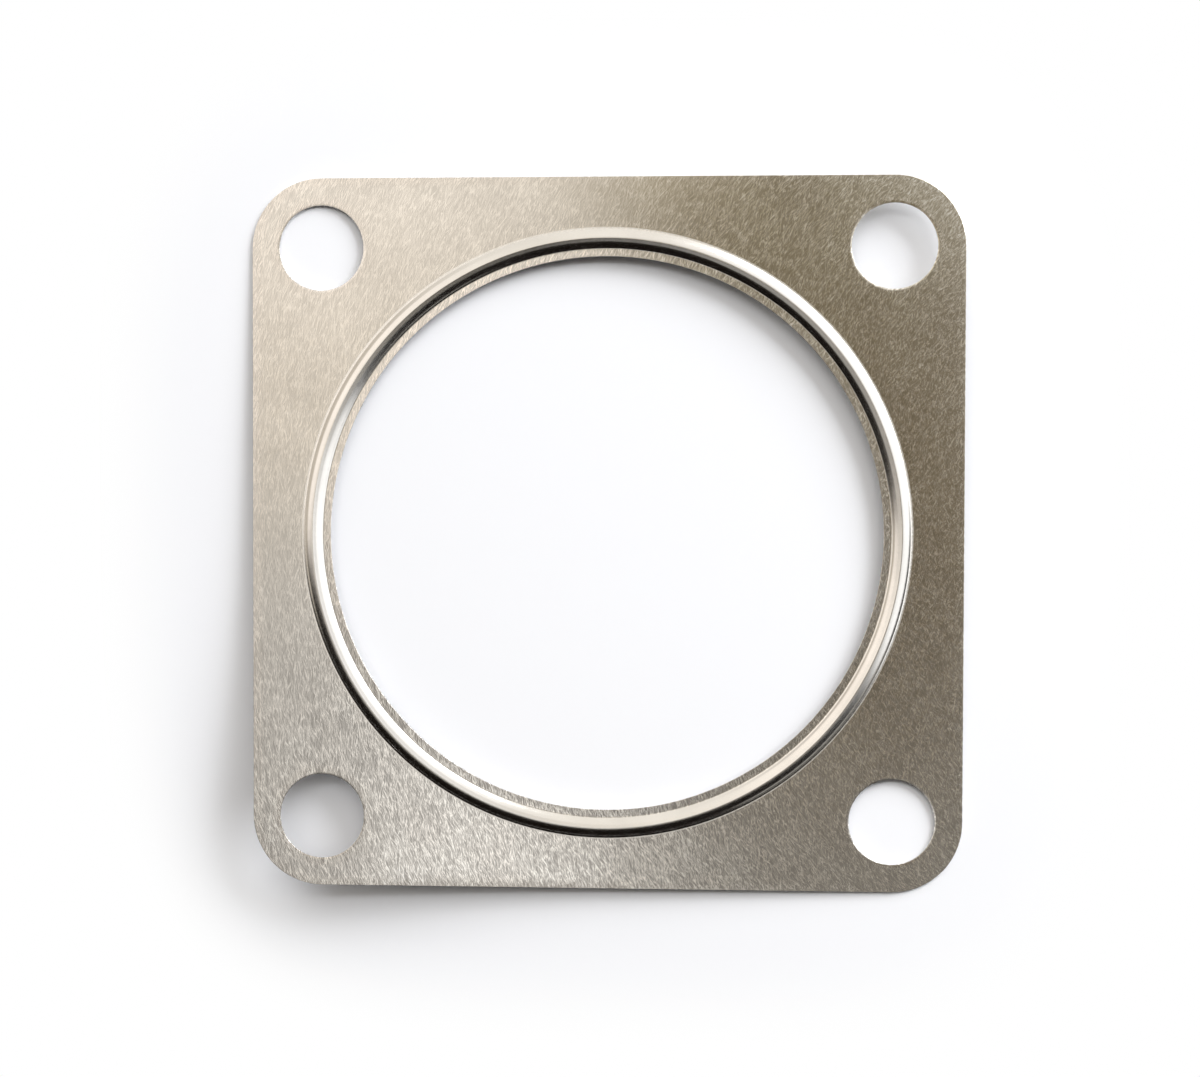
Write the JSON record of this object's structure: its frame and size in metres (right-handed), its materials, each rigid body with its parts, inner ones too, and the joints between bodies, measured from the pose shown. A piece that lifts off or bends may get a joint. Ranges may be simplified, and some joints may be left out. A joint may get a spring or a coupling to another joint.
{
  "type": "turbo discharge flange gasket",
  "caption": "Square flange gasket of thin steel sheet with rounded corners, a bolt hole in each corner, a large round bore and a raised bead pressed round it.",
  "frame": {"origin": "centre of the bore and of the bolt pattern, on the flat underside", "axes": "+Z is the side that the bead rises on, X and Y run along the plate's edges"},
  "size_m": [0.088, 0.088, 0.0008],
  "materials": {
    "steel_sheet": "scratched satin sheet, smoother and brighter on the pressed bead"
  },
  "bodies": {
    "root": {"gasket_plate": "steel_sheet"}
  },
  "joints": []
}
